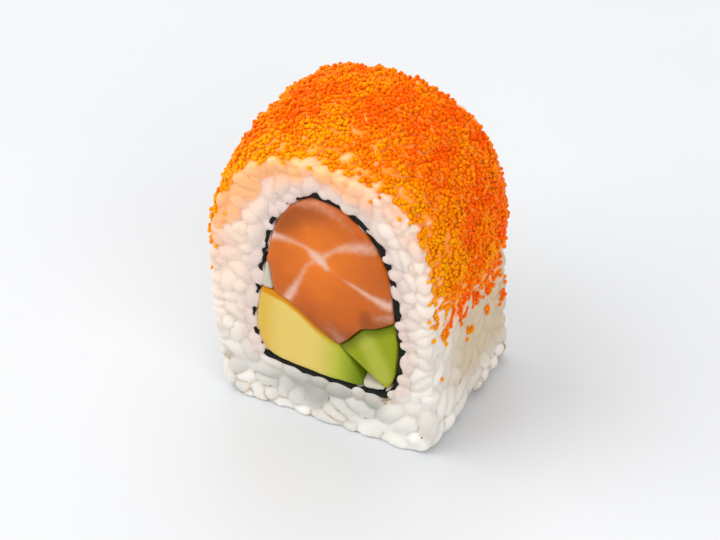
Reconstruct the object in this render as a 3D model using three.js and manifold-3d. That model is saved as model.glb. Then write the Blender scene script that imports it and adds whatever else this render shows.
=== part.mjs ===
// One cut piece of an inside-out sushi roll, standing on its flat side with a cut face to the front.
// Rice is pressed round a sheet of nori that wraps salmon, avocado, cucumber and cream cheese,
// and the crown is rolled in orange roe. Millimetres, +Z up, and the shown cut face looks along -Y.
import * as THREE from "three";
import { mergeVertices } from "three/addons/utils/BufferGeometryUtils.js";
import Module from "manifold-3d";

// The roll's outline: a flat base, sides that bulge a little, and an arch on top
const ROLL_WIDTH = 40;
const BASE_WIDTH = 38;
const ROLL_HEIGHT = 52;
const ROLL_DEPTH = 28;
const SHOULDER_HEIGHT = 28;
const ARCH_POWER = 2.4; // 2 is an ellipse, more is squarer
const BASE_CORNER = 3;
const CROWN_LEAN = 0.8; // the crown leans to the right by this much
const BASE_LEAN = 2.4; // and so does the base, which the shoulders overhang on the left
const GAP = 0.3; // between one piece and the next

// Cooked rice: a core, with the grains that show standing out of it
const RELIEF = 1.2;
const GRAIN = { length: 6, width: 3.3, thickness: 2.8 };
const GRAIN_SIZES = [0.85, 1.08]; // smallest and largest, as shares of that grain
const FACE_SPACING = 3.4;
const SIDE_SPACING = 3.4;
const SCATTER_TRIES = 6000;
const TURN_TRIES = 8;
const SIDE_TURN = 0.8 * Math.PI; // grains on the sides lie mostly up and down
const EDGE_STEPS = 10;

// Roe: a bumpy coat over the crown with a ragged edge, and stray eggs on the rice below it
const EGG = 1.2;
const EGG_BUMP = 0.25;
const COAT = 1.3;
const COAT_BULGE = 1.8; // the coat is this much thicker half way between the cuts
const SWELL_REACH = 4; // and swells to that over this much from its edge
const COAT_STEP = 1;
const EDGE_CLEARANCE = 1; // from the edge of the coat to the nearest grain
const BARE_RIM = { front: 3, left: 1, back: 0.4 }; // rice left bare along the cut edges
const LEFT_RIM_START = 10; // this far left of the middle, the front rim is as narrow as on the left
const LOWEST_ROE = 14;
const ROE_EDGE = 22.5; // height of the coat's lower edge in the middle of each side
const FRONT_RISE = { height: 9, reach: 5 }; // the lower edge climbs towards the cuts
const BACK_RISE = { height: 4, reach: 3 };
const DRIPS = [
  { height: 1.7, rate: 1.1 },
  { height: 1.1, rate: 2.3 },
];
const SCALLOPS = [
  { height: 0.6, rate: 1.35 },
  { height: 0.5, rate: 2.2 },
];
const LEFT_PHASE = 2.1; // sets the left side's drips apart from the right side's
const STRAYS = { perSide: 14, chance: 0.05, reach: 2.5, lowest: 9 };

// Nori: one sheet round the filling, pressed into the rice between the grains
const NORI = 0.8;
const NORI_RIPPLE = 0.3;
const RIPPLES = 32;
const WRAP = [
  [1, 46.4],
  [-4.4, 44.2],
  [-8, 38.6],
  [-9.9, 30.5],
  [-11.2, 22.5],
  [-11.8, 15.2],
  [-9.4, 9.7],
  [-2, 8.3],
  [6, 8.4],
  [13, 10],
  [15, 17.5],
  [14.4, 27],
  [13, 36],
  [8.3, 43.2],
];

// Seams where one filling lies against the next, across the cut face
const SALMON_ON_AVOCADO = [
  [-7.7, 23.6],
  [-5.5, 22.7],
  [-2.8, 21.2],
  [0.4, 18.7],
  [3.7, 16.8],
];
const SALMON_ON_CUCUMBER = [
  [3.7, 16.8],
  [5.6, 18.6],
  [7.9, 21.7],
  [10.4, 22.7],
  [13, 24.6],
  [17, 27.6],
];
const AVOCADO_TIP = [
  [3.7, 16.8],
  [6, 14.2],
  [7.7, 11.6],
  [8.2, 9.4],
  [8.4, 6],
];
const CUCUMBER_EDGE = [
  [3.7, 16.8],
  [6.4, 14.8],
  [9.3, 12.7],
  [11.8, 11],
  [13.4, 9.2],
  [14.2, 6],
];
const CHEESE_ON_SALMON = [
  [-7.7, 23.6],
  [-8.2, 27],
  [-9, 29.8],
  [-12.5, 32.4],
];
const SEAM_STEPS = 10;
const BEYOND = { left: -15, right: 17, low: 6, high: 50 }; // past the nori on each side
const SIDE_CHEESE_BASE = 23.6;
const BASE_CHEESE_TOP = 15;

const wasm = await Module();
wasm.setup();

// Repeatable random numbers from 0 to 1
function seededRandom(seed) {
  let state = seed;
  return () => {
    state = (state + 0x6d2b79f5) | 0;
    let mixed = Math.imul(state ^ (state >>> 15), 1 | state);
    mixed = (mixed + Math.imul(mixed ^ (mixed >>> 7), 61 | mixed)) ^ mixed;
    return ((mixed ^ (mixed >>> 14)) >>> 0) / 4294967296;
  };
}

function solid(geometry) {
  const bare = geometry.clone();
  bare.deleteAttribute("normal");
  bare.deleteAttribute("uv");
  const merged = mergeVertices(bare);
  return new wasm.Manifold(
    new wasm.Mesh({
      numProp: 3,
      vertProperties: merged.attributes.position.array,
      triVerts: new Uint32Array(merged.index.array),
    }),
  );
}

// The largest body of a solid: a scrap that touches nothing is dropped
function largestBody(made) {
  return made.decompose().reduce((a, b) => (b.volume() > a.volume() ? b : a));
}

function geometryOf(made) {
  const { vertProperties, triVerts } = made.getMesh();
  const geometry = new THREE.BufferGeometry();
  geometry.setAttribute("position", new THREE.BufferAttribute(vertProperties, 3));
  geometry.setIndex(new THREE.BufferAttribute(triVerts, 1));
  geometry.computeVertexNormals();
  return geometry;
}

// A prism through the roll: its outline lies in X and Z, and it runs along Y
function prism(outline, halfDepth, hole) {
  const shape = new THREE.Shape(outline);
  if (hole) shape.holes.push(new THREE.Path(hole));
  const geometry = new THREE.ExtrudeGeometry(shape, { depth: 2 * halfDepth, bevelEnabled: false });
  return geometry.rotateX(Math.PI / 2).translate(0, halfDepth, 0);
}

// The roll's outline, counter-clockwise from the right base corner, drawn in by an inset
function rollOutline(inset) {
  const cornerSteps = 3;
  const sideSteps = 6;
  const archSteps = 18;
  const halfBase = BASE_WIDTH / 2 - inset;
  const halfWidth = ROLL_WIDTH / 2 - inset;
  const rise = ROLL_HEIGHT - inset - SHOULDER_HEIGHT;
  const half = [];
  for (let i = 0; i <= cornerSteps; i++) {
    const turn = ((i / cornerSteps) * Math.PI) / 2;
    half.push([halfBase - BASE_CORNER * (1 - Math.sin(turn)), BASE_CORNER * (1 - Math.cos(turn))]);
  }
  for (let i = 1; i <= sideSteps; i++) {
    const up = i / sideSteps;
    const bulge = (halfWidth - halfBase) * Math.sin((up * Math.PI) / 2);
    half.push([halfBase + bulge, BASE_CORNER + (SHOULDER_HEIGHT - BASE_CORNER) * up]);
  }
  for (let i = 1; i < archSteps; i++) {
    const turn = ((i / archSteps) * Math.PI) / 2;
    const across = Math.cos(turn) ** (2 / ARCH_POWER);
    half.push([halfWidth * across, SHOULDER_HEIGHT + rise * Math.sin(turn) ** (2 / ARCH_POWER)]);
  }
  const mirrored = half.toReversed().map(([x, z]) => [-x, z]);
  const belowShoulder = (z) => Math.max(0, 1 - z / SHOULDER_HEIGHT);
  const lean = (z) => CROWN_LEAN * (z / ROLL_HEIGHT) ** 2 + BASE_LEAN * belowShoulder(z) ** 2;
  const points = [...half, [0, SHOULDER_HEIGHT + rise], ...mirrored];
  return points.map(([x, z]) => new THREE.Vector2(x + lean(z), z));
}

// Moves a counter-clockwise outline out by a distance, which may vary from point to point
function offset(outline, distance) {
  const sharpest = 0.5;
  return outline.map((point, i) => {
    const before = point.clone().sub(outline.at(i - 1)).normalize();
    const after = outline[(i + 1) % outline.length].clone().sub(point).normalize();
    const out = new THREE.Vector2(before.y + after.y, -before.x - after.x).normalize();
    const mitre = Math.max(out.x * before.y - out.y * before.x, sharpest);
    const amount = typeof distance === "function" ? distance(i / outline.length) : distance;
    return point.clone().addScaledVector(out, amount / mitre);
  });
}

function closedCurve(points, count) {
  const through = points.map(([x, z]) => new THREE.Vector3(x, z, 0));
  const curve = new THREE.CatmullRomCurve3(through, true, "centripetal");
  return curve.getSpacedPoints(count).slice(0, -1).map(({ x, y }) => new THREE.Vector2(x, y));
}

function seam(points) {
  return new THREE.SplineCurve(points.map(([x, z]) => new THREE.Vector2(x, z))).getPoints(SEAM_STEPS);
}

function isInside(outline, x, z) {
  let inside = false;
  outline.forEach((a, i) => {
    const b = outline.at(i - 1);
    const spans = a.y > z !== b.y > z;
    if (spans && x < a.x + ((z - a.y) / (b.y - a.y)) * (b.x - a.x)) inside = !inside;
  });
  return inside;
}

// The point of the roll's side or arch at a share of the way from left base to right base
const roundRoll = new THREE.Path(rollOutline(RELIEF).toReversed());
function onRoll(share) {
  const tangent = roundRoll.getTangentAt(share);
  return { at: roundRoll.getPointAt(share), out: new THREE.Vector2(-tangent.y, tangent.x), along: tangent };
}

// The share of the way round the roll at which its left side passes a height
function shareAtHeight(height) {
  let low = 0;
  let high = 0.5;
  for (let i = 0; i < 30; i++) {
    const middle = (low + high) / 2;
    if (roundRoll.getPointAt(middle).y < height) low = middle;
    else high = middle;
  }
  return low;
}

const waves = (list, at) => list.reduce((sum, { height, rate }) => sum + height * Math.sin(rate * at), 0);

// How far inside the edge of the roe a place lies: negative is bare rice
function roeMargin(at, y) {
  const side = at.x > 0 ? 0 : LEFT_PHASE;
  const frontRise = FRONT_RISE.height * Math.exp(-(y + ROLL_DEPTH / 2) / FRONT_RISE.reach);
  const backRise = BACK_RISE.height * Math.exp((y - ROLL_DEPTH / 2) / BACK_RISE.reach);
  const lowEdge = ROE_EDGE + frontRise + backRise + waves(DRIPS, y + side);
  const roundArch = (Math.atan2(at.y - SHOULDER_HEIGHT, at.x) * ROLL_WIDTH) / 2;
  const toLeft = THREE.MathUtils.clamp(-at.x / LEFT_RIM_START, 0, 1);
  const bareRim = y < 0 ? THREE.MathUtils.lerp(BARE_RIM.front, BARE_RIM.left, toLeft) : BARE_RIM.back;
  const rim = ROLL_DEPTH / 2 - bareRim - waves(SCALLOPS, roundArch);
  return Math.min(at.y - lowEdge, rim - Math.abs(y));
}

// The roe as a block from inside the rice out to its bumps, where each bump is one egg
function roeBlock() {
  const random = seededRandom(11);
  const start = shareAtHeight(LOWEST_ROE);
  const columns = Math.round(((1 - 2 * start) * roundRoll.getLength()) / COAT_STEP);
  const rows = Math.round(ROLL_DEPTH / COAT_STEP);
  const positions = [];
  const index = [];
  for (const outer of [true, false])
    for (let i = 0; i <= columns; i++) {
      const { at, out } = onRoll(start + ((1 - 2 * start) * i) / columns);
      for (let j = 0; j <= rows; j++) {
        const y = ROLL_DEPTH * (j / rows - 0.5);
        const fromEdge = roeMargin(at, y);
        const margin = THREE.MathUtils.clamp(fromEdge, -1, 1);
        const swell = THREE.MathUtils.clamp(fromEdge / SWELL_REACH, 0, 1);
        const bulge = COAT_BULGE * swell * (1 - ((2 * y) / ROLL_DEPTH) ** 2);
        const egg = EGG_BUMP * ((i + j) % 2 ? -1 : 1) * (0.6 + 0.8 * random());
        const height = GAP + COAT * (margin > 0 ? margin : 2 * margin) + bulge + egg;
        const point = at.clone().addScaledVector(out, outer ? height : -3 * COAT);
        positions.push(point.x, y, point.y);
      }
    }
  const top = (i, j) => i * (rows + 1) + j;
  const under = (i, j) => positions.length / 6 + top(i, j);
  const quad = (a, b, c, d) => index.push(a, b, c, a, c, d);
  for (let i = 0; i < columns; i++)
    for (let j = 0; j < rows; j++) {
      const corners = [top(i, j), top(i + 1, j), top(i + 1, j + 1), top(i, j + 1)];
      if ((i + j) % 2 === 0) corners.push(corners.shift());
      quad(...corners);
      quad(under(i, j), under(i, j + 1), under(i + 1, j + 1), under(i + 1, j));
    }
  for (let i = 0; i < columns; i++) {
    quad(under(i, 0), under(i + 1, 0), top(i + 1, 0), top(i, 0));
    quad(top(i, rows), top(i + 1, rows), under(i + 1, rows), under(i, rows));
  }
  for (let j = 0; j < rows; j++) {
    quad(top(0, j), top(0, j + 1), under(0, j + 1), under(0, j));
    quad(under(columns, j), under(columns, j + 1), top(columns, j + 1), top(columns, j));
  }
  const geometry = new THREE.BufferGeometry();
  geometry.setAttribute("position", new THREE.Float32BufferAttribute(positions, 3));
  geometry.setIndex(index);
  return solid(geometry);
}

// A grain of rice with few sides, its long axis along one direction and its flat side facing out
function grain(centre, along, out, size) {
  const across = out.clone().cross(along).normalize();
  const level = across.clone().cross(out).normalize();
  const geometry = new THREE.IcosahedronGeometry(0.5);
  geometry.scale(GRAIN.length * size, GRAIN.width * size, GRAIN.thickness * size);
  const turn = new THREE.Matrix4().makeBasis(level, across, out.clone().normalize()).setPosition(centre);
  return solid(geometry.applyMatrix4(turn));
}

// Draws a grain's size and turn until its edge is clear all round, or gives up on that grain
function clearTurn(random, widestTurn, isClear) {
  const [smallest, largest] = GRAIN_SIZES;
  const edge = new THREE.EllipseCurve(0, 0, GRAIN.length / 2, GRAIN.width / 2).getPoints(EDGE_STEPS);
  for (let i = 0; i < TURN_TRIES; i++) {
    const size = smallest + (largest - smallest) * random();
    const turn = (random() - 0.5) * widestTurn;
    const turned = edge.map((p) => p.clone().multiplyScalar(size).rotateAround(new THREE.Vector2(), turn));
    if (turned.every(({ x, y }) => isClear(x, y))) return { turn, size };
  }
  return null;
}

// Throws places at random and keeps those that are clear of the ones before
function scatter(random, spacing, draw) {
  const kept = [];
  for (let i = 0; i < SCATTER_TRIES; i++) {
    const place = draw(random);
    if (place && kept.every(({ centre }) => centre.distanceTo(place.centre) > spacing)) kept.push(place);
  }
  return kept;
}

const wrapCurve = closedCurve(WRAP, 96);
const noriInside = offset(closedCurve(WRAP, 64), -NORI);
const noriOutside = offset(wrapCurve, (share) => NORI_RIPPLE * Math.sin(share * RIPPLES * 2 * Math.PI));
const riceHole = offset(noriOutside, GAP);
const fillingRoom = offset(noriInside, -GAP);

// Grains across both cut faces, lying in the cut
function faceGrains(random) {
  const rim = rollOutline(RELIEF - GAP);
  const onRice = (x, z) => isInside(rim, x, z) && !isInside(riceHole, x, z);
  const depth = (ROLL_DEPTH - GRAIN.thickness) / 2;
  return [-1, 1].flatMap((facing) => {
    const out = new THREE.Vector3(0, facing, 0);
    const places = scatter(random, FACE_SPACING, () => {
      const x = (random() - 0.5) * ROLL_WIDTH;
      const z = random() * ROLL_HEIGHT;
      const lie = onRice(x, z) && clearTurn(random, 2 * Math.PI, (dx, dz) => onRice(x + dx, z + dz));
      return lie ? { centre: new THREE.Vector3(x, facing * depth, z), ...lie } : null;
    });
    return places.map(({ centre, turn, size }) =>
      grain(centre, new THREE.Vector3(Math.cos(turn), 0, Math.sin(turn)), out, size),
    );
  });
}

// Grains on the sides below the roe and along the bare cut edges of the arch, pressed flat by rolling
function sideGrains(random) {
  const length = roundRoll.getLength();
  const start = shareAtHeight(GRAIN.width / 2);
  const isBare = (share, y) => roeMargin(onRoll(share).at, y) < -EDGE_CLEARANCE;
  const places = scatter(random, SIDE_SPACING, () => {
    const share = start + (1 - 2 * start) * random();
    const y = (random() - 0.5) * ROLL_DEPTH;
    const { at, out, along } = onRoll(share);
    const isClear = (ds, dy) => isBare(share + ds / length, y + dy);
    const lie = isBare(share, y) && clearTurn(random, SIDE_TURN, isClear);
    const sunk = at.clone().addScaledVector(out, RELIEF - GRAIN.thickness / 2);
    return lie ? { centre: new THREE.Vector3(sunk.x, y, sunk.y), out, along, ...lie } : null;
  });
  return places.map(({ centre, out, along, turn, size }) => {
    const upSide = new THREE.Vector3(along.x, 0, along.y).multiplyScalar(Math.cos(turn));
    const lie = upSide.add(new THREE.Vector3(0, Math.sin(turn), 0));
    return grain(centre, lie, new THREE.Vector3(out.x, 0, out.y), size);
  });
}

// Single eggs that stuck to the rice below the coat, thinning out downwards
function strayEggs(random) {
  const low = shareAtHeight(STRAYS.lowest);
  const high = shareAtHeight(SHOULDER_HEIGHT);
  return [-1, 1].flatMap((side) => {
    const places = scatter(random, EGG, () => {
      const share = low + (high - low) * random();
      const { at, out } = onRoll(side < 0 ? share : 1 - share);
      const y = (random() - 0.5) * (ROLL_DEPTH - 2 * BARE_RIM.front);
      const margin = roeMargin(at, y) + EDGE_CLEARANCE;
      const stuck = at.clone().addScaledVector(out, RELIEF);
      const wanted = margin < 0 && random() < STRAYS.chance * Math.exp(margin / STRAYS.reach);
      return wanted ? { centre: new THREE.Vector3(stuck.x, y, stuck.y) } : null;
    });
    return places.slice(0, STRAYS.perSide).map(({ centre }) => {
      const egg = new THREE.IcosahedronGeometry(EGG / 2);
      return solid(egg.translate(centre.x, centre.y, centre.z));
    });
  });
}

// The rice: core, grains and stray eggs, cut flat by the knife at both ends and by the board below
function riceSolid() {
  const random = seededRandom(5);
  const core = solid(prism(rollOutline(RELIEF), ROLL_DEPTH / 2 - RELIEF, riceHole));
  const pieces = [...faceGrains(random), ...sideGrains(random), ...strayEggs(random)];
  const room = new THREE.BoxGeometry(2 * ROLL_WIDTH, ROLL_DEPTH, 2 * ROLL_HEIGHT);
  const aboveBoard = solid(room.translate(0, 0, ROLL_HEIGHT));
  const whole = pieces.reduce((joined, piece) => joined.add(piece), core);
  return largestBody(whole.intersect(aboveBoard));
}

function roeSolid() {
  const bareRice = solid(prism(rollOutline(RELIEF - GAP), ROLL_DEPTH));
  return largestBody(roeBlock().subtract(bareRice));
}

function fillingSolid(outline) {
  const halfDepth = ROLL_DEPTH / 2 - GAP;
  const piece = solid(prism(offset(outline, -GAP / 2), halfDepth));
  return largestBody(piece.intersect(solid(prism(fillingRoom, ROLL_DEPTH))));
}

const corner = (x, z) => new THREE.Vector2(x, z);
const underSalmon = seam(SALMON_ON_AVOCADO);
const salmonCucumber = seam(SALMON_ON_CUCUMBER).slice(1);
const avocadoTip = seam(AVOCADO_TIP);
const cucumberEdge = seam(CUCUMBER_EDGE);
const cheeseSalmon = seam(CHEESE_ON_SALMON).slice(1);
const { left, right, low, high } = BEYOND;

const FILLINGS = {
  salmon: {
    outline: [
      corner(left, high),
      corner(left, cheeseSalmon.at(-1).y),
      ...cheeseSalmon.toReversed(),
      ...underSalmon,
      ...salmonCucumber,
      corner(right, high),
    ],
    color: 0xdd7536,
    roughness: 0.35,
  },
  avocado: {
    outline: [
      corner(left, SIDE_CHEESE_BASE),
      corner(left, low),
      ...avocadoTip.toReversed(),
      ...underSalmon.slice(0, -1).toReversed(),
    ],
    color: 0xdcc66c,
    roughness: 0.5,
  },
  cucumber: {
    outline: [...cucumberEdge, corner(right, low), ...salmonCucumber.toReversed()],
    color: 0x9bb046,
    roughness: 0.3,
  },
  cream_cheese_side: {
    outline: [
      corner(left, SIDE_CHEESE_BASE),
      underSalmon[0],
      ...cheeseSalmon,
      corner(left, cheeseSalmon.at(-1).y),
    ],
    color: 0xf3eee5,
    roughness: 0.6,
  },
  cream_cheese_base: {
    outline: [
      ...avocadoTip.filter((p) => p.y < BASE_CHEESE_TOP),
      ...cucumberEdge.filter((p) => p.y < BASE_CHEESE_TOP).toReversed(),
    ],
    color: 0xf3eee5,
    roughness: 0.6,
  },
};

const roll = new THREE.Group();

function addPiece(name, geometry, color, roughness) {
  const mesh = new THREE.Mesh(geometry, new THREE.MeshStandardMaterial({ color, roughness, metalness: 0 }));
  mesh.name = name;
  roll.add(mesh);
}

addPiece("rice", geometryOf(riceSolid()), 0xf1ebdf, 0.5);
addPiece("roe", geometryOf(roeSolid()), 0xff7a10, 0.3);
addPiece("nori", prism(noriOutside, ROLL_DEPTH / 2 - GAP, noriInside), 0x10140f, 0.7);
for (const [name, { outline, color, roughness }] of Object.entries(FILLINGS))
  addPiece(name, geometryOf(fillingSolid(outline)), color, roughness);

// The origin is the middle of the base
const box = new THREE.Box3().setFromObject(roll);
const middle = box.getCenter(new THREE.Vector3());
roll.position.set(-middle.x, -middle.y, -box.min.z);

const uramaki = new THREE.Group();
uramaki.add(roll);
export default uramaki;
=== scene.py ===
import math

import bmesh
import bpy
import numpy as np
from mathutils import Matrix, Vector, kdtree, noise
from mathutils.bvhtree import BVHTree


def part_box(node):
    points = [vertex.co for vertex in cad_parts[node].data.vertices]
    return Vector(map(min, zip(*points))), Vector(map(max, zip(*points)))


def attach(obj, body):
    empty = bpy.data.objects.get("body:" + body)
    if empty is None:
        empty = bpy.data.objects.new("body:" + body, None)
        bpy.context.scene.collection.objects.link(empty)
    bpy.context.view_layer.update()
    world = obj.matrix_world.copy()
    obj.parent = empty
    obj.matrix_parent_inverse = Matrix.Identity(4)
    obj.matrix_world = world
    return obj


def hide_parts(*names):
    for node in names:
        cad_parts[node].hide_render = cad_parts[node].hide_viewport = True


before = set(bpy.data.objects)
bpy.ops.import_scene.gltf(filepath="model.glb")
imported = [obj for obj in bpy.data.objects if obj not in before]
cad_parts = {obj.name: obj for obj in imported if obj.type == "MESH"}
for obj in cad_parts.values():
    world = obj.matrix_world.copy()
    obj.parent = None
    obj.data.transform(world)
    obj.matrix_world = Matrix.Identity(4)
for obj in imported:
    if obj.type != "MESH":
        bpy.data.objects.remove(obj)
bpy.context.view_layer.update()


# The table: a plain pale floor under soft light, from a wide window on the left, a weaker one behind
# and a pale card on the right. The camera looks down on the cut face, from 41 degrees above it
# and 27 to the right.
MM = 0.001
FLOOR_SIZE = 4.0
FLOOR_DROP = 0.02 * MM
FLOOR_CLOUDS = 40
CAMERA_TURN = math.radians(27.2)
CAMERA_RISE = math.radians(41)
CAMERA_AIM = Vector((2.7, -4.6, 25.2)) * MM
CAMERA_DISTANCE = 937 * MM
LENS = 296
SENSOR_WIDTH = 36
SKY = 0.63
LAMPS = {
    "window_left": {"turn": -62, "rise": 50, "distance": 0.8, "size": 0.75, "power": 4.7},
    "window_back": {"turn": -170, "rise": 60, "distance": 0.9, "size": 0.8, "power": 2.15},
    "card_right": {"turn": 54, "rise": 36, "distance": 0.9, "size": 0.7, "power": 3.0},
}
MIX_SOCKETS = (0, 6, 7)
MIX_RESULT = 2


def direction(turn, rise):
    """The way from the roll to a camera or a lamp, turned to the right of the cut face."""
    return Vector((
        math.sin(turn) * math.cos(rise),
        -math.cos(turn) * math.cos(rise),
        math.sin(rise),
    ))


def facing(toward):
    """The rotation that makes a camera or a lamp look back along a direction."""
    return (-toward).to_track_quat("-Z", "Y").to_euler()


def srgb(red, green, blue):
    """A colour as the eye names it, from 0 to 255, as the light values that a shader takes."""
    shares = [value / 255 for value in (red, green, blue)]
    return tuple(s / 12.92 if s <= 0.04045 else ((s + 0.055) / 1.055) ** 2.4 for s in shares) + (1.0,)


def new_material(name, roughness):
    """A node material, with the shader that its other nodes lead to."""
    material = bpy.data.materials.new(name)
    material.use_nodes = True
    shader = material.node_tree.nodes["Principled BSDF"]
    shader.inputs["Roughness"].default_value = roughness
    return material, shader


def feed(material, value, socket):
    """Sets a socket to a plain value, or links it to another node's output."""
    if isinstance(value, bpy.types.NodeSocket):
        material.node_tree.links.new(value, socket)
    else:
        socket.default_value = value


def mottle(material, size, detail=2.0):
    """Cloudy noise from 0 to 1, with spots of a given size in millimetres."""
    nodes = material.node_tree.nodes
    place = nodes.new("ShaderNodeTexCoord")
    cloud = nodes.new("ShaderNodeTexNoise")
    feed(material, place.outputs["Object"], cloud.inputs["Vector"])
    feed(material, 1 / (size * MM), cloud.inputs["Scale"])
    feed(material, detail, cloud.inputs["Detail"])
    return cloud.outputs["Fac"]


def mix(material, share, first, second):
    """A colour that goes from the first to the second as the share goes from 0 to 1."""
    node = material.node_tree.nodes.new("ShaderNodeMix")
    node.data_type = "RGBA"
    for number, value in zip(MIX_SOCKETS, (share, first, second)):
        feed(material, value, node.inputs[number])
    return node.outputs[MIX_RESULT]


FLOOR_GREY = srgb(208, 210, 212)
FLOOR_PALE = srgb(212, 214, 216)
SKY_WHITE = srgb(253, 254, 255)
bpy.ops.mesh.primitive_plane_add(size=FLOOR_SIZE, location=(0, 0, -FLOOR_DROP))
floor = bpy.context.object
floor.name = "floor"
glaze, glaze_shader = new_material("floor_glaze", roughness=0.4)
floor_tone = mix(glaze, mottle(glaze, size=FLOOR_CLOUDS), FLOOR_GREY, FLOOR_PALE)
feed(glaze, floor_tone, glaze_shader.inputs["Base Color"])
floor.data.materials.append(glaze)

for lamp_name, lamp in LAMPS.items():
    light = bpy.data.lights.new(lamp_name, "AREA")
    light.energy = lamp["power"]
    light.size = lamp["size"]
    holder = bpy.data.objects.new(lamp_name, light)
    toward = direction(math.radians(lamp["turn"]), math.radians(lamp["rise"]))
    holder.location = toward * lamp["distance"]
    holder.rotation_euler = facing(toward)
    bpy.context.scene.collection.objects.link(holder)

sky = bpy.data.worlds.new("sky")
sky.use_nodes = True
sky.node_tree.nodes["Background"].inputs["Color"].default_value = SKY_WHITE
sky.node_tree.nodes["Background"].inputs["Strength"].default_value = SKY
bpy.context.scene.world = sky
bpy.context.scene.view_settings.view_transform = "Standard"

camera = bpy.data.objects.new("camera", bpy.data.cameras.new("camera"))
camera.data.lens = LENS
camera.data.sensor_width = SENSOR_WIDTH
camera_toward = direction(CAMERA_TURN, CAMERA_RISE)
camera.location = CAMERA_AIM + camera_toward * CAMERA_DISTANCE
camera.rotation_euler = facing(camera_toward)
bpy.context.scene.collection.objects.link(camera)
bpy.context.scene.camera = camera


# The nori: one sheet of roasted seaweed, damp and nearly black, wrapped round the filling.
# The rice is pressed onto it, so at the cut its edge fills the gaps between the grain ends.
ROLL_DEPTH = 28.0
NORI_INSIDE = 0.75
NORI_SUNK = 0.45
NORI_STEPS = 420
NORI_PAST_WRAP = {"right": 0.25, "crown_and_base": 0.15}
NORI_WAVES = [(0.18, 23, 0), (0.12, 41, 1)]
NORI_END_WAVE = {"height": 0.1, "rate": 17}
WRAP = [
    (1, 46.4), (-4.4, 44.2), (-8, 38.6), (-9.9, 30.5), (-11.2, 22.5), (-11.8, 15.2), (-9.4, 9.7),
    (-2, 8.3), (6, 8.4), (13, 10), (15, 17.5), (14.4, 27), (13, 36), (8.3, 43.2),
]
WRAP_STEPS = 24
WRAP_MIDDLE = (1.6, 27.0)


def closed_curve(corners, steps):
    """A smooth closed curve through the corners, with a few points for each stretch."""
    here = np.array(corners, float)
    last, after, beyond = (np.roll(here, places, axis=0) for places in (1, -1, -2))
    gaps = [np.sqrt(np.linalg.norm(b - a, axis=1))[:, None]
            for a, b in ((last, here), (here, after), (after, beyond))]
    leave = (here - last) / gaps[0] - (after - last) / (gaps[0] + gaps[1]) + (after - here) / gaps[1]
    arrive = (after - here) / gaps[1] - (beyond - here) / (gaps[1] + gaps[2]) + (beyond - after) / gaps[2]
    leave, arrive = leave * gaps[1], arrive * gaps[1]
    points = []
    for part in np.arange(steps) / steps:
        square, cube = part ** 2, part ** 3
        points.append((2 * cube - 3 * square + 1) * here + (3 * square - 2 * cube) * after
                      + (cube - 2 * square + part) * leave + (cube - square) * arrive)
    return np.stack(points, axis=1).reshape(-1, 2)


def reach_from(middle, outline):
    """How far an outline is from a point inside it, as a function of the turn around that point."""
    away = outline - middle
    turns = np.arctan2(away[:, 1], away[:, 0])
    order = np.argsort(turns)
    return lambda turn: np.interp(turn, turns[order], np.hypot(*away.T)[order], period=2 * np.pi)


def loop_at(turns, reach, depth):
    """A closed loop round the roll's middle, at a place in its depth."""
    across = MIDDLE[0] + reach * np.cos(turns)
    up = MIDDLE[1] + reach * np.sin(turns)
    return np.stack([across, np.broadcast_to(depth, turns.shape), up], axis=1)


def ring_mesh(loops):
    """A closed ring of faces through loops with equally many points, back to the first one."""
    count = len(loops[0])
    here = np.arange(count)
    after = np.roll(here, -1)
    faces = []
    for number in range(len(loops)):
        first = number * count
        second = (number + 1) % len(loops) * count
        faces.append(np.stack([first + here, first + after, second + after, second + here], axis=1))
    return np.concatenate(loops), np.concatenate(faces)


def new_piece(name, points, faces):
    """A piece with smooth faces, from points in millimetres."""
    mesh = bpy.data.meshes.new(name)
    mesh.from_pydata((np.asarray(points) * MM).tolist(), [], np.asarray(faces).tolist())
    mesh.shade_smooth()
    piece = bpy.data.objects.new(name, mesh)
    bpy.context.scene.collection.objects.link(piece)
    return piece


def rough_skin(material, shader, height, depth):
    """Fine unevenness of a surface, as a bump of a given depth in millimetres."""
    bump = material.node_tree.nodes.new("ShaderNodeBump")
    feed(material, height, bump.inputs["Height"])
    feed(material, depth * MM, bump.inputs["Distance"])
    feed(material, bump.outputs["Normal"], shader.inputs["Normal"])


wrap = closed_curve(WRAP, WRAP_STEPS)
nori_low, nori_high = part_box("nori")
shift = (nori_low.x + nori_high.x) / (2 * MM) - (wrap[:, 0].min() + wrap[:, 0].max()) / 2
wrap[:, 0] += shift
MIDDLE = np.array([WRAP_MIDDLE[0] + shift, WRAP_MIDDLE[1]])
wrap_reach = reach_from(MIDDLE, wrap)


def nori_edge(turns):
    """How far the nori reaches past the wrap before rice covers it, which is more on the right."""
    to_right = NORI_PAST_WRAP["right"] * np.cos(turns)
    return to_right + NORI_PAST_WRAP["crown_and_base"] * np.sin(turns) ** 2


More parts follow.
